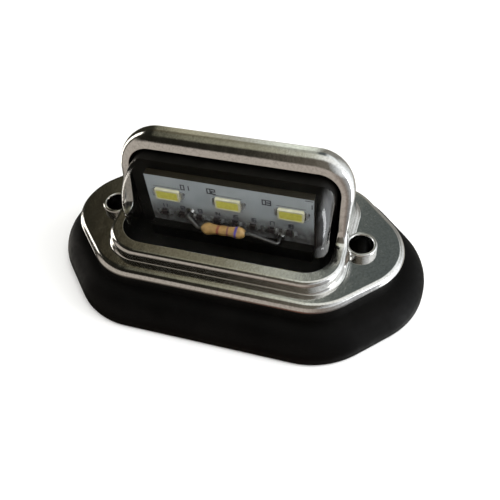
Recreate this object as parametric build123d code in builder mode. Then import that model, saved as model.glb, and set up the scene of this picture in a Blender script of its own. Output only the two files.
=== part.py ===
from build123d import *
import math
import os

os.makedirs("parts", exist_ok=True)

# Number plate lamp. Millimetres. +Z points away from the panel the lamp is
# screwed to, X runs along the lamp, the window faces -Y and +Z.
# Origin: middle of the gasket's mounting face.

# ---------------------------------------------------------------- flange
flange_vertex_x = 36.75      # sharp tip of the six-sided flange, half length
flange_edge_x = 21.14        # half length of the two long edges
flange_edge_y = 15.90        # half width of the flange
flange_corner_r = 10.5       # rounding of the four side corners
flange_tip_r = 10.6          # rounding of the two tips
flange_out = 0.6             # added all round (66 mm tip to tip)
flange_top = 10.90           # height of the flange face above the panel
flange_plate_t = 1.6         # plate and skirt wall
flange_edge_r = 1.5          # rounded top edge

# ---------------------------------------------------------------- gasket
gasket_t = 6.65              # height of the seat for the housing skirt
gasket_out = 5.15            # rubber past the six-sided outline
gasket_top_r = 4.7           # bullnose of the outer top edge
gasket_bottom_r = 0.8
gasket_open_x = 18.0         # half size of the opening behind the lamp
gasket_open_y = 11.5
gasket_open_r = 3.0

# ---------------------------------------------------------------- fixing holes
hole_pitch = 50.0
hole_d = 4.5
collar_d = 5.9
collar_h = 1.4
spacer_d = 7.0

# ---------------------------------------------------------------- hood
base_top_z = 13.50           # low frame round the front of the lens
base_in_y = -10.00           # its inner front edge
arch_lean = 15.0             # the arch behind the lens leans back
arch_in_y = 2.20             # end of the arch's flat front face
arch_in_z = 26.20
inner_corner_r = 2.5         # between the low frame and the arch
window_half_w = 20.60        # opening for the lens
window_top_z = 25.85
window_top_r = 4.2
window_front_r = 5.0
window_back_r = 4.6
hood_half_w = 22.45
hood_front_y = -12.80
hood_crown_r = 3.05          # rounded top from the arch to the back wall
hood_back_angle = 69.0       # slope of the back wall
hood_end_top = 28.6          # height and rounding of the end corners
hood_end_r = 7.2
hood_front_r = 6.0           # plan rounding of front and back corners
hood_back_r = 6.0
hood_wall = 1.6
hood_edge_r = 0.7
window_edge_r = 0.3
collar_edge_r = 0.25
foot_r = 0.9                 # fillet between hood and flange

# ---------------------------------------------------------------- lens
lens_half_x = 19.90
lens_front_y = -7.85
lens_top_z = 25.00
lens_curve_r = 7.6           # large rounding along the top front
lens_end_r = 3.0
lens_wall = 1.2

# ---------------------------------------------------------------- carrier
carrier_floor_z = 8.05
carrier_wall_t = 1.5
carrier_clear = 0.2
lip_low_z = 12.5             # stiffening lip round the back of the wall
lip_w = 2.2
lip_t = 2.6
inlet_d = 6.0                # hole for the wire grommet
inlet_y = 6.3
grommet_flange_d = 8.2
grommet_bore_d = 3.8

# ---------------------------------------------------------------- circuit board
board_half_x = 16.30
board_t = 1.6
board_front_y = -1.30
board_top_z = 22.90
board_low_z = 10.90          # the board stands on a ledge of the carrier
ledge_y = -3.00
led_pitch = 12.1
led_z = 18.55
led_l, led_h, led_t = 4.9, 2.5, 0.65
led_frame = 0.32             # width of the white frame round the phosphor
led_pocket = 0.15
chip_count = 8
chip_x0 = -13.5
chip_pitch = 3.6
chip_z = 13.45
chip_l, chip_h, chip_t = 1.9, 1.15, 0.5
chip_end = 0.35
res_x = -0.75                # axial resistor
res_y = -3.62
res_z = 13.35
res_len, res_d = 8.7, 2.25
res_tilt = 3.5               # its right end sits higher
lead_d = 0.7
lead_left_x, lead_left_z = -8.1, 14.55
lead_right_x, lead_right_z = 9.9, 12.00
solder_d = 1.9
solder_h = 0.75

# derived points of the hood's side view
la = math.radians(arch_lean)
arch_foot = (arch_in_y - (arch_in_z - base_top_z) * math.tan(la), base_top_z)
arch_head = (arch_in_y, arch_in_z)
crown_c = (arch_in_y + hood_crown_r * math.cos(la), arch_in_z - hood_crown_r * math.sin(la))
ba = math.radians(hood_back_angle)
crown_end = (crown_c[0] + hood_crown_r * math.sin(ba), crown_c[1] + hood_crown_r * math.cos(ba))
mid_a = (math.radians(180 - arch_lean) + math.radians(90 - hood_back_angle)) / 2
crown_mid = (crown_c[0] + hood_crown_r * math.cos(mid_a), crown_c[1] + hood_crown_r * math.sin(mid_a))
hood_low_z = flange_top - flange_plate_t
hood_back_y = crown_end[0] + (crown_end[1] - hood_low_z) / math.tan(ba)
flange_pts = [(flange_vertex_x, 0), (flange_edge_x, flange_edge_y), (-flange_edge_x, flange_edge_y),
              (-flange_vertex_x, 0), (-flange_edge_x, -flange_edge_y), (flange_edge_x, -flange_edge_y)]

# ================================================================ gasket
with BuildPart() as gasket:
    with BuildSketch(Plane.XY) as gasket_outline:
        Polygon(*flange_pts, align=None)
        fillet([v for v in gasket_outline.vertices() if abs(v.Y) > 1], flange_corner_r)
        fillet([v for v in gasket_outline.vertices() if abs(v.Y) < 1], flange_tip_r)
        offset(amount=gasket_out, kind=Kind.ARC)
    extrude(amount=gasket_t)
    fillet(gasket.faces().sort_by(Axis.Z)[-1].edges(), gasket_top_r)
    fillet(gasket.faces().sort_by(Axis.Z)[0].edges(), gasket_bottom_r)
    with BuildSketch(Plane.XY) as gasket_opening:
        RectangleRounded(2 * gasket_open_x, 2 * gasket_open_y, gasket_open_r)
    extrude(amount=gasket_t, mode=Mode.SUBTRACT)
    with BuildSketch(Plane.XY) as gasket_holes:
        with Locations((hole_pitch / 2, 0), (-hole_pitch / 2, 0)):
            Circle(hole_d / 2)
    extrude(amount=gasket_t, mode=Mode.SUBTRACT)
gasket.part.label = "gasket"
export_step(gasket.part, "parts/gasket.step")

# ================================================================ housing
# outer form of the hood
with BuildPart() as hood:
    with BuildSketch(Plane.YZ) as hood_side:
        with BuildLine():
            Polyline((hood_back_y, hood_low_z), (hood_front_y, hood_low_z), (hood_front_y, base_top_z),
                     arch_foot, arch_head)
            ThreePointArc(arch_head, crown_mid, crown_end)
            Line(crown_end, (hood_back_y, hood_low_z))
        make_face()
        fillet([v for v in hood_side.vertices()
                if abs(v.X - arch_foot[0]) < 0.01 and abs(v.Y - base_top_z) < 0.01], inner_corner_r)
    extrude(amount=hood_half_w + 5, both=True)
    with BuildSketch(Plane.XZ) as hood_ends:
        with BuildLine() as hood_ends_line:
            Polyline((-hood_half_w, 0), (hood_half_w, 0), (hood_half_w, hood_end_top),
                     (-hood_half_w, hood_end_top), close=True)
        make_face()
        fillet([v for v in hood_ends.vertices() if v.Y > 1], hood_end_r)
    extrude(amount=40, both=True, mode=Mode.INTERSECT)
    with BuildSketch(Plane.XY) as hood_plan:
        with BuildLine():
            Polyline((-hood_half_w, hood_front_y), (hood_half_w, hood_front_y),
                     (hood_half_w, hood_back_y + 0.4), (-hood_half_w, hood_back_y + 0.4), close=True)
        make_face()
        fillet([v for v in hood_plan.vertices() if v.Y < 0], hood_front_r)
        fillet([v for v in hood_plan.vertices() if v.Y > 0], hood_back_r)
    extrude(amount=60, mode=Mode.INTERSECT)
    # the outer creases of the frame and the arch are rounded
    crease = []
    for e in hood.edges():
        m = e.position_at(0.5)
        sides = [f for f in hood.faces() if any(e.is_same(q) for q in f.edges())]
        if m.Z > hood_low_z + 1.3 and len(sides) == 2:
            if sides[0].normal_at(m).dot(sides[1].normal_at(m)) < 0.99:
                crease.append(e)
    fillet(crease, hood_edge_r)

# inside of the hood, open through the window and downwards
back_in_y = hood_back_y - hood_wall / math.sin(ba)
back_ceil_y = back_in_y - (window_top_z - hood_low_z) / math.tan(ba)
with BuildPart() as hood_cavity:
    with BuildSketch(Plane.YZ) as cavity_side:
        with BuildLine():
            Polyline((back_in_y, hood_low_z), (base_in_y, hood_low_z), (base_in_y, window_top_z),
                     (back_ceil_y, window_top_z), close=True)
        make_face()
    extrude(amount=window_half_w + 5, both=True)
    with BuildSketch(Plane.XZ) as cavity_ends:
        with BuildLine():
            Polyline((-window_half_w, 0), (window_half_w, 0), (window_half_w, window_top_z),
                     (-window_half_w, window_top_z), close=True)
        make_face()
        fillet([v for v in cavity_ends.vertices() if v.Y > 1], window_top_r)
    extrude(amount=40, both=True, mode=Mode.INTERSECT)
    with BuildSketch(Plane.XY) as cavity_plan:
        with BuildLine():
            Polyline((-window_half_w, base_in_y), (window_half_w, base_in_y),
                     (window_half_w, back_in_y), (-window_half_w, back_in_y), close=True)
        make_face()
        fillet([v for v in cavity_plan.vertices() if v.Y < 0], window_front_r)
        fillet([v for v in cavity_plan.vertices() if v.Y > 0], window_back_r)
    extrude(amount=60, mode=Mode.INTERSECT)

# raised collars round the fixing holes
with BuildPart() as collars:
    with BuildSketch(Plane.XY.offset(hood_low_z + 0.2)) as collar_rings:
        with Locations((hole_pitch / 2, 0), (-hole_pitch / 2, 0)):
            Circle(collar_d / 2)
    extrude(amount=flange_top + collar_h - hood_low_z - 0.2)
    fillet(collars.edges().group_by(Axis.Z)[-1], collar_edge_r)

with BuildPart() as housing:
    with BuildSketch(Plane.XY.offset(gasket_t)) as flange_outline:
        Polygon(*flange_pts, align=None)
        fillet([v for v in flange_outline.vertices() if abs(v.Y) > 1], flange_corner_r)
        fillet([v for v in flange_outline.vertices() if abs(v.Y) < 1], flange_tip_r)
        offset(amount=flange_out, kind=Kind.ARC)
    extrude(amount=flange_top - gasket_t)
    fillet(housing.faces().sort_by(Axis.Z)[-1].edges(), flange_edge_r)
    add(hood.part)
    foot_edges = [e for e in housing.edges()
                  if abs(e.center().Z - flange_top) < 0.01 and e.bounding_box().size.Z < 0.01
                  and abs(e.center().X) < hood_half_w + 0.5 and hood_front_y - 0.5 < e.center().Y < hood_back_y + 0.2]
    fillet(foot_edges, foot_r)
    add(collars.part)
    with BuildSketch(Plane.XY.offset(gasket_t)) as skirt_inside:
        Polygon(*flange_pts, align=None)
        fillet([v for v in skirt_inside.vertices() if abs(v.Y) > 1], flange_corner_r)
        fillet([v for v in skirt_inside.vertices() if abs(v.Y) < 1], flange_tip_r)
        offset(amount=flange_out - flange_plate_t, kind=Kind.ARC)
    extrude(amount=flange_top - flange_plate_t - gasket_t, mode=Mode.SUBTRACT)
    with BuildSketch(Plane.XY.offset(gasket_t)) as spacers:
        with Locations((hole_pitch / 2, 0), (-hole_pitch / 2, 0)):
            Circle(spacer_d / 2)
    extrude(amount=flange_top - flange_plate_t - gasket_t)
    add(hood_cavity.part, mode=Mode.SUBTRACT)
    with BuildSketch(Plane.XY.offset(gasket_t)) as fixing_holes:
        with Locations((hole_pitch / 2, 0), (-hole_pitch / 2, 0)):
            Circle(hole_d / 2)
    extrude(amount=flange_top + collar_h - gasket_t, mode=Mode.SUBTRACT)
    # soft edge round the window and on the collars
    bend_t = inner_corner_r * math.tan((math.pi / 2 - la) / 2)
    bend_c = (arch_foot[0] - bend_t, base_top_z + inner_corner_r)
    window_edge = []
    for e in housing.edges():
        m = e.position_at(0.5)
        on_base = abs(m.Z - base_top_z) < 0.02
        on_arch = abs((m.Y - arch_in_y) * math.cos(la) - (m.Z - arch_in_z) * math.sin(la)) < 0.02
        on_bend = abs(math.hypot(m.Y - bend_c[0], m.Z - bend_c[1]) - inner_corner_r) < 0.02 and m.Z < bend_c[1]
        if (on_base or on_arch or on_bend) and abs(m.X) < window_half_w + 0.02 \
                and base_in_y - 0.02 < m.Y < arch_in_y and base_top_z - 0.02 < m.Z < window_top_z + 0.02:
            window_edge.append(e)
    fillet(window_edge, window_edge_r)
    fillet([e for e in housing.edges().filter_by(GeomType.CIRCLE)
            if abs(e.radius - hole_d / 2) < 0.01 and abs(e.position_at(0.5).Z - flange_top - collar_h) < 0.01], collar_edge_r)
housing.part.label = "housing"
export_step(housing.part, "parts/housing.step")

# ================================================================ lens
lens_low_z = carrier_floor_z
lens_back_y = board_front_y + board_t
cy, cz = lens_front_y + lens_curve_r, lens_top_z - lens_curve_r
k = math.sqrt(0.5)
with BuildPart() as lens:
    with BuildSketch(Plane.YZ) as lens_side:
        with BuildLine():
            Polyline((lens_back_y, lens_top_z), (lens_back_y, lens_low_z), (lens_front_y, lens_low_z), (lens_front_y, cz))
            ThreePointArc((lens_front_y, cz), (cy - lens_curve_r * k, cz + lens_curve_r * k), (cy, lens_top_z))
            Line((cy, lens_top_z), (lens_back_y, lens_top_z))
        make_face()
    extrude(amount=lens_half_x, both=True)
    end_edges = [e for e in lens.edges()
                 if abs(abs(e.center().X) - lens_half_x) < 0.01
                 and (e.center().Y < lens_back_y - 0.05) and (e.center().Z > lens_low_z + 0.05)]
    fillet(end_edges, lens_end_r)
    ri = lens_curve_r - lens_wall
    with BuildSketch(Plane.YZ) as lens_inner_side:
        with BuildLine():
            Polyline((lens_back_y, lens_top_z - lens_wall), (lens_back_y, lens_low_z),
                     (lens_front_y + lens_wall, lens_low_z), (lens_front_y + lens_wall, cz))
            ThreePointArc((lens_front_y + lens_wall, cz), (cy - ri * k, cz + ri * k), (cy, lens_top_z - lens_wall))
            Line((cy, lens_top_z - lens_wall), (lens_back_y, lens_top_z - lens_wall))
        make_face()
    extrude(amount=lens_half_x - lens_wall, both=True, mode=Mode.SUBTRACT)
lens.part.label = "lens"
export_step(lens.part, "parts/lens.step")

# ================================================================ carrier
wall_y0 = board_front_y + board_t
with BuildPart() as carrier:
    with BuildSketch(Plane.XY.offset(gasket_t)) as carrier_outline:
        Polygon(*flange_pts, align=None)
        fillet([v for v in carrier_outline.vertices() if abs(v.Y) > 1], flange_corner_r)
        fillet([v for v in carrier_outline.vertices() if abs(v.Y) < 1], flange_tip_r)
        offset(amount=flange_out - flange_plate_t - carrier_clear, kind=Kind.ARC)
    extrude(amount=carrier_floor_z - gasket_t)
    with BuildSketch(Plane.XY.offset(gasket_t)) as spacer_clearance:
        with Locations((hole_pitch / 2, 0), (-hole_pitch / 2, 0)):
            Circle(spacer_d / 2 + carrier_clear)
    extrude(amount=carrier_floor_z - gasket_t, mode=Mode.SUBTRACT)
    with BuildSketch(Plane.XZ.offset(-wall_y0)) as carrier_wall:
        with BuildLine():
            Polyline((-lens_half_x, carrier_floor_z), (lens_half_x, carrier_floor_z),
                     (lens_half_x, lens_top_z), (-lens_half_x, lens_top_z), close=True)
        make_face()
        fillet([v for v in carrier_wall.vertices() if v.Y > carrier_floor_z + 1], lens_end_r)
    extrude(amount=-carrier_wall_t)
    with BuildSketch(Plane.XZ.offset(-wall_y0 - carrier_wall_t)) as wall_lip:
        with BuildLine():
            Polyline((-lens_half_x, lip_low_z), (lens_half_x, lip_low_z),
                     (lens_half_x, lens_top_z), (-lens_half_x, lens_top_z), close=True)
        make_face()
        fillet([v for v in wall_lip.vertices() if v.Y > lip_low_z + 1], lens_end_r)
        with Locations((0, (lip_low_z + lens_top_z) / 2 - lip_w)):
            Rectangle(2 * (lens_half_x - lip_w), lens_top_z - lip_low_z, mode=Mode.SUBTRACT)
    extrude(amount=-lip_t)
    with BuildSketch(Plane.YZ) as carrier_ledge:
        with BuildLine():
            Polyline((ledge_y, carrier_floor_z), (wall_y0, carrier_floor_z), (wall_y0, board_low_z),
                     (ledge_y, board_low_z), close=True)
        make_face()
    extrude(amount=board_half_x, both=True)
    with BuildSketch(Plane.YZ) as carrier_ribs:
        with BuildLine():
            Polyline((wall_y0 + carrier_wall_t, carrier_floor_z), (wall_y0 + carrier_wall_t + 4.5, carrier_floor_z),
                     (wall_y0 + carrier_wall_t, carrier_floor_z + 11), close=True)
        make_face()
    with Locations((-13, 0, 0), (13, 0, 0)):
        add(extrude(amount=0.75, both=True, mode=Mode.PRIVATE))
    with BuildSketch(Plane.XY.offset(gasket_t)) as inlet:
        with Locations((0, inlet_y)):
            Circle(inlet_d / 2)
    extrude(amount=carrier_floor_z - gasket_t, mode=Mode.SUBTRACT)
carrier.part.label = "carrier"
export_step(carrier.part, "parts/carrier.step")

# ================================================================ wire grommet
with BuildPart() as wire_grommet:
    with BuildSketch(Plane.XZ.offset(-inlet_y)) as grommet_half:
        with BuildLine():
            Polyline((grommet_bore_d / 2, gasket_t - 1.2), (grommet_flange_d / 2 - 0.6, gasket_t - 1.2),
                     (grommet_flange_d / 2, gasket_t), (inlet_d / 2, gasket_t), (inlet_d / 2, carrier_floor_z),
                     (grommet_flange_d / 2, carrier_floor_z), (grommet_flange_d / 2 - 0.6, carrier_floor_z + 1.2),
                     (grommet_bore_d / 2, carrier_floor_z + 1.2), close=True)
        make_face()
    revolve(axis=Axis((0, inlet_y, 0), (0, 0, 1)), revolution_arc=360)
wire_grommet.part.label = "wire_grommet"
export_step(wire_grommet.part, "parts/wire_grommet.step")

# ================================================================ circuit board
with BuildPart() as board:
    with BuildSketch(Plane.XZ.offset(-board_front_y)) as board_outline:
        with BuildLine():
            Polyline((-board_half_x, board_low_z), (board_half_x, board_low_z),
                     (board_half_x, board_top_z), (-board_half_x, board_top_z), close=True)
        make_face()
        with Locations((lead_left_x, lead_left_z), (lead_right_x, lead_right_z)):
            Circle(lead_d / 2 + 0.05, mode=Mode.SUBTRACT)
    extrude(amount=-board_t)
board.part.label = "board"
export_step(board.part, "parts/board.step")

# ================================================================ LEDs
led_places = [(i * led_pitch, led_z) for i in (-1, 0, 1)]
led_plane = Plane.XZ.offset(-board_front_y)
with BuildPart() as led_body:
    with BuildSketch(led_plane) as led_outline:
        with Locations(*led_places):
            RectangleRounded(led_l, led_h, 0.18)
    extrude(amount=led_t)
    with BuildSketch(Plane.XZ.offset(-board_front_y + led_t)) as led_pockets:
        with Locations(*led_places):
            RectangleRounded(led_l - 2 * led_frame, led_h - 2 * led_frame, 0.3)
    extrude(amount=-led_pocket, mode=Mode.SUBTRACT)
led_body.part.label = "led_body"
export_step(led_body.part, "parts/led_body.step")

with BuildPart() as led_phosphor:
    with BuildSketch(Plane.XZ.offset(-board_front_y + led_t - led_pocket)) as phosphor_outline:
        with Locations(*led_places):
            RectangleRounded(led_l - 2 * led_frame, led_h - 2 * led_frame, 0.3)
    extrude(amount=led_pocket - 0.03)
led_phosphor.part.label = "led_phosphor"
export_step(led_phosphor.part, "parts/led_phosphor.step")

with BuildPart() as led_terminal:
    with BuildSketch(led_plane) as terminal_outline:
        with Locations(*[(x + s * (led_l / 2 + 0.2), z) for x, z in led_places for s in (-1, 1)]):
            Rectangle(0.4, 1.7)
    extrude(amount=0.2)
led_terminal.part.label = "led_terminal"
export_step(led_terminal.part, "parts/led_terminal.step")

# ================================================================ chip resistors
chip_places = [(chip_x0 + i * chip_pitch, chip_z) for i in range(chip_count)]
with BuildPart() as chip_resistor_body:
    with BuildSketch(led_plane) as chip_outline:
        with Locations(*chip_places):
            Rectangle(chip_l - 2 * chip_end, chip_h)
    extrude(amount=chip_t)
chip_resistor_body.part.label = "chip_resistor_body"
export_step(chip_resistor_body.part, "parts/chip_resistor_body.step")

with BuildPart() as chip_resistor_end:
    with BuildSketch(led_plane) as chip_end_outline:
        with Locations(*[(x + s * (chip_l - chip_end) / 2, z) for x, z in chip_places for s in (-1, 1)]):
            Rectangle(chip_end, chip_h)
    extrude(amount=chip_t)
chip_resistor_end.part.label = "chip_resistor_end"
export_step(chip_resistor_end.part, "parts/chip_resistor_end.step")

# ================================================================ axial resistor
hl, rr = res_len / 2, res_d / 2
waist = rr - 0.17
with BuildPart() as resistor_body:
    with BuildSketch(Plane.XY) as resistor_half:
        with BuildLine():
            Spline((-hl, 0.55), (-hl + 0.25, rr - 0.35), (-hl + 1.0, rr), (-hl + 1.8, rr - 0.02),
                   (-hl + 2.6, waist), (0, waist), (hl - 2.6, waist), (hl - 1.8, rr - 0.02),
                   (hl - 1.0, rr), (hl - 0.25, rr - 0.35), (hl, 0.55))
            Polyline((hl, 0.55), (hl, 0), (-hl, 0), (-hl, 0.55))
        make_face()
    revolve(axis=Axis.X, revolution_arc=360)
resistor_body.part.locate(Location((res_x, res_y, res_z), (0, -res_tilt, 0)))
resistor_body.part.label = "resistor_body"
export_step(resistor_body.part, "parts/resistor_body.step")

lead_end_y = board_front_y + board_t - 0.1
ct, st = math.cos(math.radians(res_tilt)), math.sin(math.radians(res_tilt))
xl, xr = res_x - hl * ct, res_x + hl * ct
zl, zr = res_z - hl * st, res_z + hl * st
with BuildPart() as lead_left:
    with BuildLine() as left_path:
        FilletPolyline((xl, res_y, zl), (xl - 0.9 * ct, res_y, zl - 0.9 * st), (lead_left_x, res_y + 0.9, lead_left_z),
                       (lead_left_x, lead_end_y, lead_left_z), radius=0.5)
    with BuildSketch(Plane(origin=(xl, res_y, zl), z_dir=(-ct, 0, -st))):
        Circle(lead_d / 2)
    sweep(path=left_path.wires()[0])
with BuildPart() as lead_right:
    with BuildLine() as right_path:
        FilletPolyline((xr, res_y, zr), (xr + 0.9 * ct, res_y, zr + 0.9 * st), (lead_right_x, res_y + 0.2, lead_right_z),
                       (lead_right_x, lead_end_y, lead_right_z), radius=0.6)
    with BuildSketch(Plane(origin=(xr, res_y, zr), z_dir=(ct, 0, st))):
        Circle(lead_d / 2)
    sweep(path=right_path.wires()[0])
with BuildPart() as resistor_lead:
    add(lead_left.part)
    add(lead_right.part)
resistor_lead.part.label = "resistor_lead"
export_step(resistor_lead.part, "parts/resistor_lead.step")

# ================================================================ solder joints
with BuildPart() as solder_joint:
    with BuildSketch(led_plane) as solder_foot:
        with Locations((lead_left_x, lead_left_z), (lead_right_x, lead_right_z)):
            Circle(solder_d / 2)
            Circle(lead_d / 2 + 0.05, mode=Mode.SUBTRACT)
    extrude(amount=solder_h, taper=28)
solder_joint.part.label = "solder_joint"
export_step(solder_joint.part, "parts/solder_joint.step")
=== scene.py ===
import math
import bpy
import bmesh
import numpy as np
from mathutils import Matrix, Vector


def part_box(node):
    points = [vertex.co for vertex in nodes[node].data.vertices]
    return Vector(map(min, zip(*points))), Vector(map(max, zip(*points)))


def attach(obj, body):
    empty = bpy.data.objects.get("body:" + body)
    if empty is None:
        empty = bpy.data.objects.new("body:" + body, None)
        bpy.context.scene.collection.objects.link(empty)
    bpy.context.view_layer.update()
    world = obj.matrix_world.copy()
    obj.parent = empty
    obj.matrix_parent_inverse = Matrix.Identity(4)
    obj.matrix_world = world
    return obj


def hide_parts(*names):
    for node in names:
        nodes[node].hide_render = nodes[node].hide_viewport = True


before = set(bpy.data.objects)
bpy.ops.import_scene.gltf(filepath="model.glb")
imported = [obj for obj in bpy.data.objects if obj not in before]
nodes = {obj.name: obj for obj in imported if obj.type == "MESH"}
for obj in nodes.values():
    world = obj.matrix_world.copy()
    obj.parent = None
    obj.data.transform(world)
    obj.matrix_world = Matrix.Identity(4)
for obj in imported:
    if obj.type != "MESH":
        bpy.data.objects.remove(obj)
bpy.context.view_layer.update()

MM = 0.001
scene = bpy.context.scene


# ------------------------------------------------------------------ camera
def camera():
    yaw, el, roll = 21.77, 49.68, -6.48
    dist, focal, tx, ty = 130.0, 618.93, 2.33, 2.33
    a, e, r = (math.radians(v) for v in (yaw, el, roll))
    back = Vector((math.sin(a) * math.cos(e), -math.cos(a) * math.cos(e), math.sin(e)))
    right = Vector((math.cos(a), math.sin(a), 0))
    up = back.cross(right)
    rr = math.cos(r) * right + math.sin(r) * up
    uu = -math.sin(r) * right + math.cos(r) * up
    place = (back * dist + rr * tx + uu * ty) * MM
    cam = bpy.data.cameras.new("camera")
    cam.sensor_width = 36.0
    cam.lens = focal * 36.0 / 500.0
    cam.clip_start = 0.001
    cam.clip_end = 20.0
    obj = bpy.data.objects.new("camera", cam)
    scene.collection.objects.link(obj)
    obj.matrix_world = Matrix((
        (rr.x, uu.x, back.x, place.x),
        (rr.y, uu.y, back.y, place.y),
        (rr.z, uu.z, back.z, place.z),
        (0, 0, 0, 1)))
    scene.camera = obj
    return obj


camera()


# ------------------------------------------------------------------ node helpers
class Tree:
    """Short helpers for a node tree. co is the vector that textures read."""

    def link(self, a, b):
        self.t.links.new(a, b)

    def noise(self, scale, detail=3.0, rough=0.5, stretch=None, dist=0.0):
        n = self.t.nodes.new("ShaderNodeTexNoise")
        n.inputs["Scale"].default_value = scale
        n.inputs["Detail"].default_value = detail
        n.inputs["Roughness"].default_value = rough
        n.inputs["Distortion"].default_value = dist
        co = self.co
        if stretch:
            mp = self.t.nodes.new("ShaderNodeMapping")
            mp.inputs["Scale"].default_value = stretch
            self.link(co, mp.inputs["Vector"])
            co = mp.outputs["Vector"]
        self.link(co, n.inputs["Vector"])
        return n.outputs["Fac"]

    def voronoi(self, scale):
        n = self.t.nodes.new("ShaderNodeTexVoronoi")
        n.inputs["Scale"].default_value = scale
        self.link(self.co, n.inputs["Vector"])
        return n.outputs["Distance"]

    def ramp(self, fac, stops, interp="LINEAR"):
        r = self.t.nodes.new("ShaderNodeValToRGB")
        r.color_ramp.interpolation = interp
        els = r.color_ramp.elements
        while len(els) < len(stops):
            els.new(0.5)
        for e, (pos, col) in zip(els, stops):
            e.position = pos
            e.color = col if len(col) == 4 else (*col, 1)
        self.link(fac, r.inputs["Fac"])
        return r.outputs["Color"]

    def maprange(self, v, a, b, c, d, smooth=False):
        n = self.t.nodes.new("ShaderNodeMapRange")
        if smooth:
            n.interpolation_type = "SMOOTHSTEP"
        for k, x in zip(("From Min", "From Max", "To Min", "To Max"), (a, b, c, d)):
            n.inputs[k].default_value = x
        self.link(v, n.inputs["Value"])
        return n.outputs["Result"]

    def math(self, op, a, b=None):
        n = self.t.nodes.new("ShaderNodeMath")
        n.operation = op
        for i, v in enumerate((a, b)):
            if v is None:
                continue
            if isinstance(v, (int, float)):
                n.inputs[i].default_value = v
            else:
                self.link(v, n.inputs[i])
        return n.outputs["Value"]

    def mix(self, fac, a, b):
        n = self.t.nodes.new("ShaderNodeMix")
        n.data_type = "RGBA"
        if isinstance(fac, (int, float)):
            n.inputs["Factor"].default_value = fac
        else:
            self.link(fac, n.inputs["Factor"])
        for k, v in (("A", a), ("B", b)):
            s = [i for i in n.inputs if i.name == k and i.type == "RGBA"][0]
            if isinstance(v, tuple):
                s.default_value = v if len(v) == 4 else (*v, 1)
            else:
                self.link(v, s)
        return [o for o in n.outputs if o.type == "RGBA"][0]

    def xyz(self, vec=None):
        s = self.t.nodes.new("ShaderNodeSeparateXYZ")
        self.link(self.co if vec is None else vec, s.inputs["Vector"])
        return s.outputs["X"], s.outputs["Y"], s.outputs["Z"]


class Mat(Tree):
    """A procedural material on one Principled shader."""

    def __init__(self, name):
        self.m = bpy.data.materials.new(name)
        self.m.use_nodes = True
        self.t = self.m.node_tree
        self.t.nodes.clear()
        self.out = self.t.nodes.new("ShaderNodeOutputMaterial")
        self.p = self.t.nodes.new("ShaderNodeBsdfPrincipled")
        self.link(self.p.outputs["BSDF"], self.out.inputs["Surface"])
        tc = self.t.nodes.new("ShaderNodeTexCoord")
        self.co, self.nrm = tc.outputs["Object"], tc.outputs["Normal"]

    def set(self, **kw):
        for k, v in kw.items():
            self.p.inputs[k.replace("_", " ")].default_value = v
        return self

    def bump(self, height, strength, distance, normal=None):
        b = self.t.nodes.new("ShaderNodeBump")
        b.inputs["Strength"].default_value = strength
        b.inputs["Distance"].default_value = distance
        self.link(height, b.inputs["Height"])
        if normal is not None:
            self.link(normal, b.inputs["Normal"])
        self.link(b.outputs["Normal"], self.p.inputs["Normal"])
        return b.outputs["Normal"]

    def color(self, sock):
        self.link(sock, self.p.inputs["Base Color"])

    def rough(self, sock):
        self.link(sock, self.p.inputs["Roughness"])


# ------------------------------------------------------------------ materials
def mat_chrome():
    """Thin bright plating on a casting: slow waves, fine grain and small pits."""
    m = Mat("chrome_plating").set(Metallic=1.0)
    fine = m.noise(2600, 4, 0.62)
    m.color(m.ramp(m.noise(2100, 4, 0.65), [(0.34, (0.64, 0.63, 0.61)), (0.5, (0.74, 0.735, 0.715)), (0.7, (0.80, 0.795, 0.78))]))
    m.rough(m.maprange(m.noise(700, 3), 0.3, 0.75, 0.06, 0.15))
    n = m.bump(m.noise(260, 2), 0.35, 0.00010)
    pit = m.maprange(m.voronoi(900), 0.0, 0.16, 0.0, 1.0, True)
    n = m.bump(pit, 0.20, 0.00003, n)
    m.bump(fine, 0.42, 0.00002, n)
    return m.m


def mat_rubber(name="gasket_rubber", base=(0.0016, 0.0015, 0.0014)):
    m = Mat(name).set(Specular_IOR_Level=0.07)
    m.color(m.ramp(m.noise(160, 4), [(0.3, tuple(c * 0.7 for c in base)), (0.75, tuple(c * 1.5 for c in base))]))
    m.rough(m.maprange(m.noise(900, 3), 0.3, 0.7, 0.40, 0.55))
    n = m.bump(m.noise(420, 2), 0.2, 0.00006)
    m.bump(m.noise(4200, 4), 0.25, 0.00003, n)
    return m.m


def mat_lens():
    """Thin clear wall: it hardly bends the view, and its skin mirrors the studio."""
    m = Mat("clear_lens").set(Transmission_Weight=1.0, IOR=1.02)
    m.set(Base_Color=(0.97, 0.985, 0.985, 1), Coat_IOR=2.0, Coat_Roughness=0.03)
    nx, ny, nz = m.xyz(m.nrm)
    m.link(m.maprange(m.math("ABSOLUTE", nx), 0.22, 0.6, 0.04, 1.0, True), m.p.inputs["Coat Weight"])
    m.rough(m.maprange(m.noise(500, 3), 0.35, 0.75, 0.0, 0.02))
    m.bump(m.noise(160, 2), 0.05, 0.0002)
    clear = m.t.nodes.new("ShaderNodeBsdfTransparent")
    clear.inputs["Color"].default_value = (0.92, 0.94, 0.94, 1)
    path = m.t.nodes.new("ShaderNodeLightPath")
    mx = m.t.nodes.new("ShaderNodeMixShader")
    m.link(path.outputs["Is Shadow Ray"], mx.inputs["Fac"])
    m.link(m.p.outputs["BSDF"], mx.inputs[1])
    m.link(clear.outputs["BSDF"], mx.inputs[2])
    m.link(mx.outputs["Shader"], m.out.inputs["Surface"])
    return m.m


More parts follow.
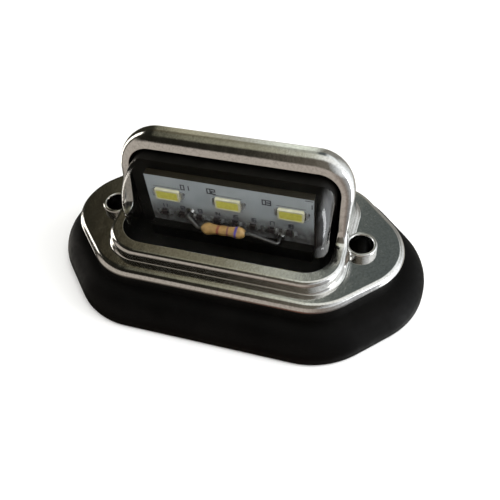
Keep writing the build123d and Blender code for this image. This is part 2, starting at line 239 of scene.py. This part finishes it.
def mat_black_plastic():
    m = Mat("black_plastic").set(Specular_IOR_Level=0.2)
    m.color(m.ramp(m.noise(300, 4), [(0.3, (0.002, 0.0019, 0.0016)), (0.75, (0.005, 0.0046, 0.0040))]))
    m.rough(m.maprange(m.noise(1400, 3), 0.3, 0.7, 0.3, 0.46))
    m.bump(m.noise(4200, 3), 0.2, 0.00003)
    return m.m


def mat_board():
    """White mask on the faces with painted shade towards the bottom, bare laminate on the cut edges."""
    m = Mat("board_mask").set(Coat_Weight=0.25, Coat_Roughness=0.15)
    base = m.ramp(m.noise(260, 3), [(0.3, (0.185, 0.197, 0.206)), (0.75, (0.225, 0.240, 0.250))])
    weave = m.noise(2400, 2, stretch=(1.0, 1.0, 0.35))
    mask = m.mix(m.maprange(weave, 0.55, 0.8, 0.0, 0.12), base, (0.16, 0.175, 0.18))
    x, y, z = m.xyz()
    # Painted shade: the mask is darkened in patches from z 17.2 mm down to 13.2 mm, towards the bottom of the
    # board.
    painted_shade = m.math("MULTIPLY", m.maprange(z, 0.0172, 0.0132, 0.0, 1.0, True), m.maprange(m.noise(1100, 4), 0.3, 0.62, 0.55, 0.97))
    mask = m.mix(painted_shade, mask, (0.034, 0.030, 0.026))
    nx, ny, nz = m.xyz(m.nrm)
    face = m.maprange(m.math("ABSOLUTE", ny), 0.4, 0.6, 0.0, 1.0)
    fibre = m.ramp(m.noise(5200, 2, stretch=(0.2, 1.0, 0.2)), [(0.3, (0.005, 0.004, 0.0022)), (0.7, (0.011, 0.0085, 0.0048))])
    m.color(m.mix(face, fibre, mask))
    m.rough(m.maprange(m.noise(800, 2), 0.3, 0.7, 0.3, 0.45))
    m.bump(weave, 0.2, 0.00002)
    return m.m


def mat_led_body():
    m = Mat("led_package")
    m.color(m.ramp(m.noise(900, 3), [(0.3, (0.29, 0.275, 0.19)), (0.75, (0.37, 0.35, 0.255))]))
    m.rough(m.maprange(m.noise(2000, 2), 0.3, 0.7, 0.35, 0.5))
    m.bump(m.noise(5000, 2), 0.1, 0.00002)
    return m.m


def mat_phosphor():
    m = Mat("led_phosphor").set(Coat_Weight=0.5, Coat_Roughness=0.1)
    m.color(m.ramp(m.noise(1500, 4), [(0.25, (0.29, 0.26, 0.035)), (0.5, (0.35, 0.32, 0.05)), (0.8, (0.41, 0.375, 0.07))]))
    m.rough(m.maprange(m.noise(3000, 2), 0.3, 0.7, 0.3, 0.5))
    m.bump(m.noise(6000, 3), 0.2, 0.00002)
    return m.m


def mat_tin(name="tinned_metal", tone=0.62, r0=0.22, r1=0.42):
    m = Mat(name).set(Metallic=1.0)
    m.color(m.ramp(m.noise(1500, 3), [(0.3, (tone * 0.85, tone * 0.84, tone * 0.82)), (0.75, (tone * 1.15, tone * 1.14, tone * 1.1))]))
    m.rough(m.maprange(m.noise(2600, 3), 0.3, 0.7, r0, r1))
    m.bump(m.noise(3500, 3), 0.3, 0.00003)
    return m.m


def mat_chip():
    m = Mat("chip_glaze")
    m.color(m.ramp(m.noise(1800, 3), [(0.3, (0.008, 0.006, 0.006)), (0.75, (0.024, 0.018, 0.017))]))
    m.rough(m.maprange(m.noise(2600, 3), 0.3, 0.7, 0.25, 0.45))
    m.bump(m.noise(5000, 2), 0.1, 0.00002)
    return m.m


def mat_resistor(x_mid, length):
    """Tan lacquer with rings of colour along X."""
    m = Mat("resistor_lacquer").set(Coat_Weight=0.4, Coat_Roughness=0.12)
    x, y, z = m.xyz()
    wob = m.math("MULTIPLY", m.math("SUBTRACT", m.noise(700, 2), 0.5), 0.00035)
    xs = m.math("ADD", x, wob)
    f = m.maprange(xs, x_mid - length / 2, x_mid + length / 2, 0.0, 1.0)
    tan = m.ramp(m.noise(900, 4), [(0.3, (0.15, 0.086, 0.027)), (0.7, (0.24, 0.145, 0.05))])
    bands = [(0.36, 0.42, (0.10, 0.018, 0.012)), (0.595, 0.635, (0.085, 0.02, 0.035)), (0.775, 0.83, (0.035, 0.025, 0.16))]
    col = tan
    for a, b, c in bands:
        inside = m.math("MULTIPLY", m.maprange(f, a - 0.008, a + 0.008, 0, 1), m.maprange(f, b - 0.008, b + 0.008, 1, 0))
        col = m.mix(inside, col, c)
    m.color(col)
    m.rough(m.maprange(m.noise(1800, 2), 0.3, 0.7, 0.28, 0.42))
    m.bump(m.noise(1600, 3), 0.2, 0.00004)
    return m.m


def mat_ink(name, c):
    m = Mat(name)
    m.color(m.ramp(m.noise(2600, 3), [(0.3, tuple(v * 0.7 for v in c)), (0.8, tuple(v * 1.6 for v in c))]))
    m.rough(m.maprange(m.noise(3000, 2), 0.3, 0.7, 0.4, 0.6))
    m.bump(m.noise(6000, 2), 0.1, 0.00001)
    return m.m


def wear(name, mat):
    o = nodes[name]
    o.data.materials.clear()
    o.data.materials.append(mat)
    for p in o.data.polygons:
        p.material_index = 0


def piece(name, me, mat):
    me.materials.clear()
    me.materials.append(mat)
    o = bpy.data.objects.new(name, me)
    scene.collection.objects.link(o)
    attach(o, "root")
    return o


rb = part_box("resistor_body")
chrome = mat_chrome()
tin = mat_tin()
wear("housing", chrome)
wear("gasket", mat_rubber())
wear("lens", mat_lens())
nodes["lens"].visible_glossy = False
wear("carrier", mat_black_plastic())
wear("wire_grommet", mat_rubber("grommet_rubber", (0.02, 0.02, 0.02)))
wear("board", mat_board())
wear("led_body", mat_led_body())
wear("led_phosphor", mat_phosphor())
wear("led_terminal", tin)
wear("chip_resistor_body", mat_chip())
wear("chip_resistor_end", tin)
wear("resistor_body", mat_resistor((rb[0].x + rb[1].x) / 2, rb[1].x - rb[0].x))
wear("resistor_lead", mat_tin("lead_wire", 0.20, 0.3, 0.5))
wear("solder_joint", mat_tin("solder", 0.26, 0.14, 0.34))


# ------------------------------------------------------------------ housing
# One closed skin, laid as loops from the inside of the opening over the low
# frame and the leaning arch, the rolled top, the walls, the foot and the
# flange to the skirt. Millimetres.
LEAN = math.radians(15)
BASE_Y, BASE_Z, ARCH_Y, ARCH_Z, INNER_R = -10.0, 13.5, 2.2, 26.2, 2.5
TURN = math.pi / 2 - LEAN
LEG_A = ARCH_Y - (ARCH_Z - BASE_Z) * math.tan(LEAN) - INNER_R * math.tan(TURN / 2) - BASE_Y
BEND = INNER_R * TURN
WIN_LEN = LEG_A + BEND + (ARCH_Z - BASE_Z) / math.cos(LEAN) - INNER_R * math.tan(TURN / 2)
TOP_Z, PLATE, SEAT_Z = 10.90, 1.6, 6.65
NT, NC, NS = 26, 30, 52


def ring(w, lo, hi, top, low):
    """Rounded rectangle as matching points and outward normals."""
    pts, nrm = [], []

    def run(a, b, n, d):
        for k in range(n):
            f = k / n
            pts.append((a[0] + (b[0] - a[0]) * f, a[1] + (b[1] - a[1]) * f))
            nrm.append(d)

    def arc(cx, cv, rx, rv, a0):
        for k in range(NC):
            t = math.radians(a0 - 90.0 * k / NC)
            pts.append((cx + rx * math.cos(t), cv + rv * math.sin(t)))
            d = Vector((math.cos(t) / rx, math.sin(t) / rv)).normalized()
            nrm.append((d.x, d.y))

    (tx, tv), (lx, lv) = top, low
    run((0, hi), (w - tx, hi), NT, (0, 1))
    arc(w - tx, hi - tv, tx, tv, 90)
    run((w, hi - tv), (w, lo + lv), NS, (1, 0))
    arc(w - lx, lo + lv, lx, lv, 0)
    run((w - lx, lo), (lx - w, lo), 2 * NT, (0, -1))
    arc(lx - w, lo + lv, lx, lv, -90)
    run((-w, lo + lv), (-w, hi - tv), NS, (-1, 0))
    arc(tx - w, hi - tv, tx, tv, 180)
    run((tx - w, hi), (0, hi), NT, (0, 1))
    return np.array(pts), np.array(nrm)


def along(top, corner_side, side, front):
    """A size that changes smoothly round the ring: top, sides, front."""
    def ease(a, b):
        f = (np.arange(NC) + 0.0) / NC
        return a + (b - a) * (f * f * (3 - 2 * f))
    down = np.concatenate([np.full(NT, top), ease(top, corner_side),
                           corner_side + (side - corner_side) * np.minimum(1, np.arange(NS) / (NS * 0.5)),
                           ease(side, front), np.full(NT, front)])
    back = np.concatenate([down[1:], [front]])[::-1]
    return np.concatenate([down, back])[:, None]


def on_rim(p, n):
    """Points of the window ring on the bent rim, and their outward directions."""
    x, t = p[:, 0], p[:, 1]
    a = np.clip((t - LEG_A) / INNER_R, 0, TURN)
    up = np.maximum(t - LEG_A - BEND, 0)
    y = BASE_Y + np.minimum(t, LEG_A) + INNER_R * np.sin(a) + up * math.sin(LEAN)
    z = BASE_Z + INNER_R * (1 - np.cos(a)) + up * math.cos(LEAN)
    return np.stack([x, y, z], 1), np.stack([n[:, 0], n[:, 1] * np.cos(a), n[:, 1] * np.sin(a)], 1)


def on_level(p, z):
    return np.column_stack([p, np.full(len(p), z)])


def unit(v):
    return v / np.linalg.norm(v, axis=1, keepdims=True)


def turn(a, p, q, n):
    """n loops of a circular bend from a to q about the corner p, ends left out."""
    c = np.sum(unit(p - a) * unit(q - p), 1, keepdims=True)
    w = np.sqrt((1 + c) / 2)
    out = []
    for k in range(1, n):
        t = k / n
        out.append(((1 - t) ** 2 * a + 2 * w * t * (1 - t) * p + t * t * q)
                   / ((1 - t) ** 2 + 2 * w * t * (1 - t) + t * t))
    return out


def straight(a, b, n, guard=0.06):
    """Loops from a to b, with a close guard loop at each end, ends left out."""
    d = b - a
    g = np.minimum(guard / np.maximum(np.linalg.norm(d, axis=1, keepdims=True), 1e-6), 0.2)
    fs = [g] + [np.full_like(g, k / n) for k in range(1, n)] + [1 - g]
    return [a + d * f for f in fs]


def flange_line():
    """The six-sided flange outline as dense points with outward normals."""
    v = [(36.75, 0, 10.6), (21.14, 15.9, 10.5), (-21.14, 15.9, 10.5),
         (-36.75, 0, 10.6), (-21.14, -15.9, 10.5), (21.14, -15.9, 10.5)]
    pts, nrm = [], []
    for i in range(6):
        p0, p1, p2 = (Vector(v[(i + k) % 6][:2]) for k in (-1, 0, 1))
        r = v[i][2]
        d0, d1 = (p1 - p0).normalized(), (p2 - p1).normalized()
        n0, n1 = Vector((d0.y, -d0.x)), Vector((d1.y, -d1.x))
        half = math.acos(max(-1, min(1, d0.dot(d1)))) / 2
        c = p1 - d0 * r * math.tan(half) - n0 * r
        a0 = math.atan2(n0.y, n0.x)
        for k in range(161):
            a = a0 + 2 * half * k / 160
            pts.append((c.x + r * math.cos(a), c.y + r * math.sin(a)))
            nrm.append((math.cos(a), math.sin(a)))
        q1 = c + n1 * r
        nxt = v[(i + 1) % 6]
        p3 = Vector(v[(i + 2) % 6][:2])
        d2 = (p3 - p2).normalized()
        half2 = math.acos(max(-1, min(1, d1.dot(d2)))) / 2
        q2 = p2 - d1 * nxt[2] * math.tan(half2)
        for k in range(1, 160):
            f = k / 160
            q = q1 + (q2 - q1) * f
            pts.append((q.x, q.y))
            nrm.append((n1.x, n1.y))
    return np.array(pts), np.array(nrm)


def reach(base, way, pts, nrm):
    """Where each ray from base meets the closed line pts: point and normal."""
    q = pts[None] - base[:, None]
    cr = way[:, None, 0] * q[..., 1] - way[:, None, 1] * q[..., 0]
    dt = np.sum(q * way[:, None], 2)
    c2, d2 = np.roll(cr, -1, 1), np.roll(dt, -1, 1)
    hit = (cr <= 0) & (c2 > 0) & (dt > 0) & (d2 > 0)
    j = np.argmax(hit, 1)
    i = np.arange(len(base))
    f = (cr[i, j] / (cr[i, j] - c2[i, j]))[:, None]
    k = (j + 1) % len(pts)
    return pts[j] * (1 - f) + pts[k] * f, unit(nrm[j] * (1 - f) + nrm[k] * f)


def collar(x0):
    """Turned ring round a screw hole, with its spacer below the plate."""
    def round_(r, z, a0, rad, n=6):
        return [(r + rad * math.cos(math.radians(a0 + 90 * k / n)), z + rad * math.sin(math.radians(a0 + 90 * k / n))) for k in range(n + 1)]
    top = TOP_Z + 1.4
    prof = [(3.5, SEAT_Z), (3.5, TOP_Z - PLATE - 0.05), (2.95, TOP_Z - PLATE), (2.95, TOP_Z)]
    prof += [(2.95, TOP_Z + 0.6)] + round_(2.95 - 0.3, top - 0.3, 0, 0.3) + round_(2.25 + 0.3, top - 0.3, 90, 0.3)
    prof += [(2.25, TOP_Z), (2.25, TOP_Z - PLATE), (2.25, SEAT_Z)]
    n = 72
    verts = [(x0 + r * math.cos(2 * math.pi * k / n), r * math.sin(2 * math.pi * k / n), z) for r, z in prof for k in range(n)]
    m = len(prof)
    faces = [(a * n + k, a * n + (k + 1) % n, ((a + 1) % m) * n + (k + 1) % n, ((a + 1) % m) * n + k) for a in range(m) for k in range(n)]
    return verts, faces


def housing_skin():
    win, wn = ring(20.60, 0.0, WIN_LEN - 0.36, (4.4, 4.2), (5.0, 5.0))
    face, fn = ring(21.15, -1.85, WIN_LEN, (5.7, 5.1), (6.0, 6.0))
    foot, kn = ring(22.65, -12.85, 14.05, (6.4, 6.4), (6.2, 6.2))
    cave, _ = ring(20.60, -10.0, 11.9, (4.6, 4.6), (5.0, 5.0))
    low = np.clip((LEG_A + BEND + 0.5 - face[:, 1]) / (BEND + 0.5), 0, 1)
    low = low * low * (3 - 2 * low)
    face[:, 0] *= 1 + low * (0.95 / 21.15)
    roll = along(3.04, 1.5, 1.2, 1.0)
    roll = roll + (0.90 - roll) * low[:, None]
    base = along(0.25, 1.0, 0.9, 0.16)
    rim_r = along(1.2, 1.1, 1.1, 1.5)
    w0, wout = on_rim(win, wn)
    f0, fout = on_rim(face, fn)
    c0 = on_level(cave, TOP_Z - PLATE)
    k0 = on_level(foot, TOP_Z)
    g = np.clip(wn[:, 1:], 0, 1)
    back = np.array([[0, 1.0, 0]])
    inward = unit(back * g + unit(c0 - w0) * (1 - g))
    p0 = f0 + fout * roll
    for _ in range(40):
        down = unit(k0 - p0)
        half = np.arccos(np.clip(np.sum(fout * down, 1, keepdims=True), -1, 1)) / 2
        set_back = roll * np.tan(half)
        p0 = 0.5 * p0 + 0.5 * (f0 + fout * set_back)
    down = unit(k0 - p0)
    out = np.column_stack([kn, np.zeros(len(kn))])
    wa, wq = w0 + inward * 0.16, w0 + wout * 0.16
    ra, rq = f0, p0 + down * np.linalg.norm(p0 - f0, axis=1, keepdims=True)
    fa, fq = k0 - down * base, k0 + out * base
    mid = wa + back * (4.1 * g) + (c0 - wa) * (0.1 * (1 - g))
    line, ln = flange_line()
    ein, en = reach(fq[:, :2], kn, line + ln * (0.6 - 0.6 * np.maximum(0, -ln[:, 1:])), ln)
    ein = ein - en * rim_r
    e3 = on_level(ein, TOP_Z)
    n3 = np.column_stack([en, np.zeros(len(en))])
    z3 = np.array([[0, 0, 1.0]])
    loops = [c0, c0 + (mid - c0) * 0.35, c0 + (mid - c0) * 0.7, mid, wa] + turn(wa, w0, wq, 5) + [wq]
    loops += straight(wq, ra, 3) + [ra] + turn(ra, p0, rq, 24) + [rq]
    loops += straight(rq, fa, 12) + [fa] + turn(fa, k0, fq, 10) + [fq]
    loops += straight(fq, e3, 30) + [e3]
    for k in range(1, 17):
        a = math.radians(90 * k / 17)
        loops.append(e3 + n3 * rim_r * math.sin(a) - z3 * rim_r * (1 - math.cos(a)))
    side = e3 + n3 * rim_r - z3 * rim_r
    loops.append(side)
    foot_line = side.copy()
    foot_line[:, 2] = SEAT_Z
    inn = side - n3 * PLATE
    inn[:, 2] = SEAT_Z
    up = inn.copy()
    up[:, 2] = TOP_Z - PLATE
    loops += straight(side, foot_line, 3) + [foot_line, inn, up] + straight(up, c0, 26)
    n, m = len(c0), len(loops)
    co = np.concatenate(loops)
    hole = [np.hypot(co[:, 0] - x, co[:, 1]) < 2.38 for x in (25.0, -25.0)]
    gone = hole[0] | hole[1]
    faces = []
    for a in range(m):
        b = (a + 1) % m
        for i in range(n):
            j = (i + 1) % n
            q = (a * n + i, a * n + j, b * n + j, b * n + i)
            if not (gone[q[0]] or gone[q[1]] or gone[q[2]] or gone[q[3]]):
                faces.append(q)
    verts = [tuple(v) for v in co]
    for x in (25.0, -25.0):
        cv, cf = collar(x)
        o = len(verts)
        verts += cv
        faces += [tuple(o + k for k in f) for f in cf]
    me = bpy.data.meshes.new("housing_skin")
    me.from_pydata([(x * MM, y * MM, z * MM) for x, y, z in verts], [], faces)
    bm = bmesh.new()
    bm.from_mesh(me)
    bmesh.ops.delete(bm, geom=[v for v in bm.verts if not v.link_faces], context="VERTS")
    bmesh.ops.recalc_face_normals(bm, faces=bm.faces)
    bm.to_mesh(me)
    bm.free()
    for p in me.polygons:
        p.use_smooth = True
    me.set_sharp_from_angle(angle=math.radians(38))
    o = piece("housing_skin", me, chrome)
    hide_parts("housing")
    return o


housing_skin()


# ------------------------------------------------------------------ marks and pads on the board
BOARD_Y = -1.30
LED_X, LED_Z = (-12.1, 0.0, 12.1), 18.55
CHIP_X, CHIP_Z = [-13.5 + 3.6 * i for i in range(8)], 13.45


def slab(bm, x0, x1, z0, z1, t, y=BOARD_Y, inset=0.0):
    """A thin plate on the board's front, whose outer face can be drawn in by inset; no call here sets it."""
    v = [bm.verts.new((x * MM, y * MM, z * MM)) for x, z in ((x0, z0), (x1, z0), (x1, z1), (x0, z1))]
    i = inset
    u = [bm.verts.new((x * MM, (y - t) * MM, z * MM)) for x, z in ((x0 + i, z0 + i), (x1 - i, z0 + i), (x1 - i, z1 - i), (x0 + i, z1 - i))]
    bm.faces.new(v[::-1])
    bm.faces.new(u)
    for k in range(4):
        bm.faces.new((v[k], v[(k + 1) % 4], u[(k + 1) % 4], u[k]))


SEG = {"0": "abcdef", "1": "bc", "2": "abged", "3": "abgcd", "4": "fgbc", "5": "afgcd",
       "6": "afgedc", "7": "abc", "8": "abcdefg", "9": "abcdfg"}


def number(bm, text, x, z, h, stroke):
    """Plain digits made of short strokes, centred on x, z."""
    w = h * 0.55
    pitch = w + h * 0.25
    left = x - (pitch * (len(text) - 1) + w) / 2
    s = stroke / 2
    for k, ch in enumerate(text):
        x0, x1 = left + k * pitch, left + k * pitch + w
        z0, zm, z1 = z - h / 2, z, z + h / 2
        bar = {"a": (x0 - s, x1 + s, z1 - s, z1 + s), "g": (x0 - s, x1 + s, zm - s, zm + s), "d": (x0 - s, x1 + s, z0 - s, z0 + s),
               "f": (x0 - s, x0 + s, zm, z1), "b": (x1 - s, x1 + s, zm, z1), "e": (x0 - s, x0 + s, z0, zm), "c": (x1 - s, x1 + s, z0, zm)}
        for g in SEG[ch]:
            slab(bm, *bar[g], 0.02)


def disc(bm, x, z, r, t, n=20):
    lo = [bm.verts.new(((x + r * math.cos(2 * math.pi * k / n)) * MM, BOARD_Y * MM, (z + r * math.sin(2 * math.pi * k / n)) * MM)) for k in range(n)]
    hi = [bm.verts.new((v.co.x, v.co.y - t * MM, v.co.z)) for v in lo]
    bm.faces.new(lo[::-1])
    bm.faces.new(hi)
    for k in range(n):
        bm.faces.new((lo[k], lo[(k + 1) % n], hi[(k + 1) % n], hi[k]))


def board_print():
    bm = bmesh.new()
    for text, x, z in (("01", -8.35, 20.85), ("02", -3.1, 21.0), ("03", 7.5, 20.45)):
        number(bm, text, x, z, 1.15, 0.24)
    for x in LED_X:
        disc(bm, x + 3.15, LED_Z + 0.45, 0.36, 0.02)
        slab(bm, x - 2.75, x + 2.75, LED_Z + 1.62, LED_Z + 1.72, 0.02)
        slab(bm, x - 2.75, x + 2.75, LED_Z - 1.72, LED_Z - 1.62, 0.02)
    for i, x in enumerate(CHIP_X):
        number(bm, str(11 + i), x, 15.15, 0.95, 0.22)
        for z in (CHIP_Z - 0.82, CHIP_Z + 0.82):
            slab(bm, x - 0.6, x + 0.6, z - 0.06, z + 0.06, 0.02)
    slab(bm, 14.7, 16.1, 22.45, 22.62, 0.02)
    slab(bm, 15.85, 16.05, 20.6, 21.7, 0.02)
    bmesh.ops.recalc_face_normals(bm, faces=bm.faces)
    me = bpy.data.meshes.new("board_print")
    bm.to_mesh(me)
    bm.free()
    return piece("board_print", me, mat_ink("print_ink", (0.022, 0.021, 0.026)))


def solder_fillets():
    """Pads with a concave run of solder up each chip and LED end."""
    bm = bmesh.new()

    def fillet(xe, side, z, half, run, rise):
        n = 6
        prof = [(0.0, 0.0), (run, 0.0)]
        for k in range(n + 1):
            a = math.pi / 2 * k / n
            prof.append((run * (1 - math.sin(a)) * 0.94 + 0.0, 0.03 + rise * (1 - math.cos(a))))
        a, b = [], []
        for u, t in prof:
            a.append(bm.verts.new(((xe + side * u) * MM, (BOARD_Y - t) * MM, (z - half) * MM)))
            b.append(bm.verts.new(((xe + side * u) * MM, (BOARD_Y - t) * MM, (z + half) * MM)))
        m = len(prof)
        bm.faces.new(a)
        bm.faces.new(b[::-1])
        for k in range(m):
            bm.faces.new((a[k], b[k], b[(k + 1) % m], a[(k + 1) % m]))

    for x in CHIP_X:
        for s in (-1, 1):
            fillet(x + s * 0.95, s, CHIP_Z, 0.52, 0.5, 0.36)
    for x in LED_X:
        for s in (-1, 1):
            fillet(x + s * 2.85, s, LED_Z, 0.8, 0.35, 0.12)
    bmesh.ops.recalc_face_normals(bm, faces=bm.faces)
    me = bpy.data.meshes.new("solder_fillets")
    bm.to_mesh(me)
    bm.free()
    return piece("solder_fillets", me, bpy.data.materials["solder"])


board_print()
solder_fillets()


# ------------------------------------------------------------------ floor, light
def stage():
    me = bpy.data.meshes.new("floor")
    s = 3.0
    me.from_pydata([(-s, -s, -0.00005), (s, -s, -0.00005), (s, s, -0.00005), (-s, s, -0.00005)], [], [(0, 1, 2, 3)])
    o = bpy.data.objects.new("floor", me)
    scene.collection.objects.link(o)
    m = Mat("pale_floor").set(Base_Color=(0.92, 0.92, 0.92, 1), Roughness=0.9)
    me.materials.append(m.m)
    o.visible_glossy = False
    return o


floor = stage()


def area(name, loc, aim, size, power, color=(1, 1, 1), size_y=None, glossy=True):
    l = bpy.data.lights.new(name, "AREA")
    l.energy = power
    l.color = color
    l.shape = "RECTANGLE"
    l.size = size
    l.size_y = size_y or size
    o = bpy.data.objects.new(name, l)
    scene.collection.objects.link(o)
    o.location = loc
    o.rotation_euler = (Vector(aim) - Vector(loc)).to_track_quat("-Z", "Y").to_euler()
    o.visible_glossy = glossy
    o.visible_camera = False
    return o


class Sky(Tree):
    """A studio round the object: soft fields of light that the plating mirrors."""

    def __init__(self):
        w = bpy.data.worlds.new("studio")
        scene.world = w
        w.use_nodes = True
        self.t = w.node_tree
        self.t.nodes.clear()
        out = self.t.nodes.new("ShaderNodeOutputWorld")
        self.bg = self.t.nodes.new("ShaderNodeBackground")
        self.link(self.bg.outputs["Background"], out.inputs["Surface"])
        self.co = self.t.nodes.new("ShaderNodeTexCoord").outputs["Generated"]

    def strip(self, side, y0, y1, z0, z1):
        """One inside an upright window on the left or right, with soft sides."""
        x, y, z = self.xyz()
        k = self.maprange(x, side * 0.5, side * 0.66, 0, 1, True)
        for v, lo, hi in ((y, y0, y1), (z, z0, z1)):
            k = self.math("MULTIPLY", k, self.maprange(v, lo - 0.06, lo + 0.06, 0, 1, True))
            k = self.math("MULTIPLY", k, self.maprange(v, hi - 0.06, hi + 0.06, 1, 0, True))
        return k

    def fields(self):
        x, y, z = self.xyz()
        f = self.maprange(x, -1, 1, 0, 1)
        at = lambda v: (v + 1) / 2
        back = self.ramp(f, [
            (at(-1.0), (0.03, 0.028, 0.02)),
            (at(-0.50), (0.014, 0.012, 0.008)),
            (at(-0.44), (0.042, 0.036, 0.022)),
            (at(-0.37), (0.15, 0.135, 0.09)),
            (at(-0.27), (0.235, 0.22, 0.155)),
            (at(-0.17), (0.50, 0.52, 0.45)),
            (at(-0.13), (0.22, 0.235, 0.21)),
            (at(-0.09), (0.10, 0.115, 0.11)),
            (at(0.08), (0.10, 0.115, 0.115)),
            (at(0.22), (0.95, 1.0, 1.0)),
            (at(1.0), (1.4, 1.45, 1.5))])
        zenith = self.ramp(f, [
            (at(-1.0), (0.03, 0.028, 0.02)),
            (at(-0.45), (0.012, 0.012, 0.009)),
            (at(-0.33), (0.26, 0.25, 0.18)),
            (at(-0.22), (0.38, 0.37, 0.28)),
            (at(-0.12), (0.80, 0.82, 0.74)),
            (at(0.2), (1.0, 1.0, 0.96)),
            (at(1.0), (1.4, 1.45, 1.5))])
        dark = self.ramp(f, [
            (at(-1.0), (0.02, 0.018, 0.013)),
            (at(-0.42), (0.012, 0.011, 0.008)),
            (at(-0.27), (0.026, 0.024, 0.018)),
            (at(-0.19), (0.10, 0.088, 0.07)),
            (at(-0.1), (0.15, 0.135, 0.11)),
            (at(0.2), (0.16, 0.145, 0.12)),
            (at(0.36), (0.42, 0.43, 0.43)),
            (at(0.6), (0.8, 0.82, 0.84)),
            (at(1.0), (1.2, 1.25, 1.3))])
        front = self.ramp(f, [
            (at(-1.0), (0.50, 0.45, 0.40)),
            (at(-0.55), (0.46, 0.415, 0.365)),
            (at(0.1), (0.46, 0.405, 0.36)),
            (at(0.4), (0.27, 0.225, 0.195)),
            (at(0.66), (0.30, 0.285, 0.27)),
            (at(1.0), (0.55, 0.57, 0.60))])
        low = self.ramp(f, [
            (at(-1.0), (0.10, 0.085, 0.07)),
            (at(-0.3), (0.09, 0.075, 0.06)),
            (at(-0.12), (0.15, 0.06, 0.04)),
            (at(0.1), (0.10, 0.05, 0.04)),
            (at(0.7), (0.13, 0.125, 0.12)),
            (at(1.0), (0.35, 0.35, 0.35))])
        skyline = self.ramp(f, [
            (at(-1.0), (0.03, 0.028, 0.02)),
            (at(-0.47), (0.03, 0.029, 0.02)),
            (at(-0.415), (0.10, 0.098, 0.072)),
            (at(-0.365), (0.47, 0.44, 0.31)),
            (at(-0.29), (0.40, 0.39, 0.33)),
            (at(-0.235), (0.72, 0.74, 0.66)),
            (at(-0.19), (1.0, 1.06, 0.93)),
            (at(-0.12), (0.45, 0.46, 0.42)),
            (at(-0.02), (0.22, 0.215, 0.18)),
            (at(0.14), (0.30, 0.295, 0.27)),
            (at(0.38), (0.27, 0.265, 0.25)),
            (at(0.55), (0.62, 0.63, 0.62)),
            (at(1.0), (1.2, 1.25, 1.3))])
        back = self.mix(self.maprange(z, 0.73, 0.56, 0, 1, True), back, skyline)
        front = self.mix(self.maprange(z, -0.25, -0.6, 0, 1, True), front, low)
        behind = self.mix(self.maprange(z, -0.12, -0.4, 0, 1, True), back, (0.42, 0.40, 0.36))
        c = self.mix(self.maprange(z, 0.40, 0.58, 0, 1, True), front, dark)
        c = self.mix(self.maprange(y, -0.28, -0.02, 0, 1, True), c, zenith)
        c = self.mix(self.maprange(y, 0.30, 0.56, 0, 1, True), c, behind)
        c = self.mix(self.strip(-1, 0.10, 0.34, -0.50, 0.62), c, (3.0, 2.85, 2.6))
        c = self.mix(self.strip(1, -0.26, 0.0, -0.45, 0.62), c, (4.4, 4.5, 4.6))
        self.link(c, self.bg.inputs["Color"])
        self.bg.inputs["Strength"].default_value = 1.0


Sky().fields()
area("key_top", (0.1, -0.15, 0.6), (0, 0, 0.01), 0.5, 3.2, glossy=False)
area("side_right", (0.5, 0.12, 0.25), (0, 0, 0.015), 0.35, 2.0, glossy=False)

scene.view_settings.view_transform = "Standard"
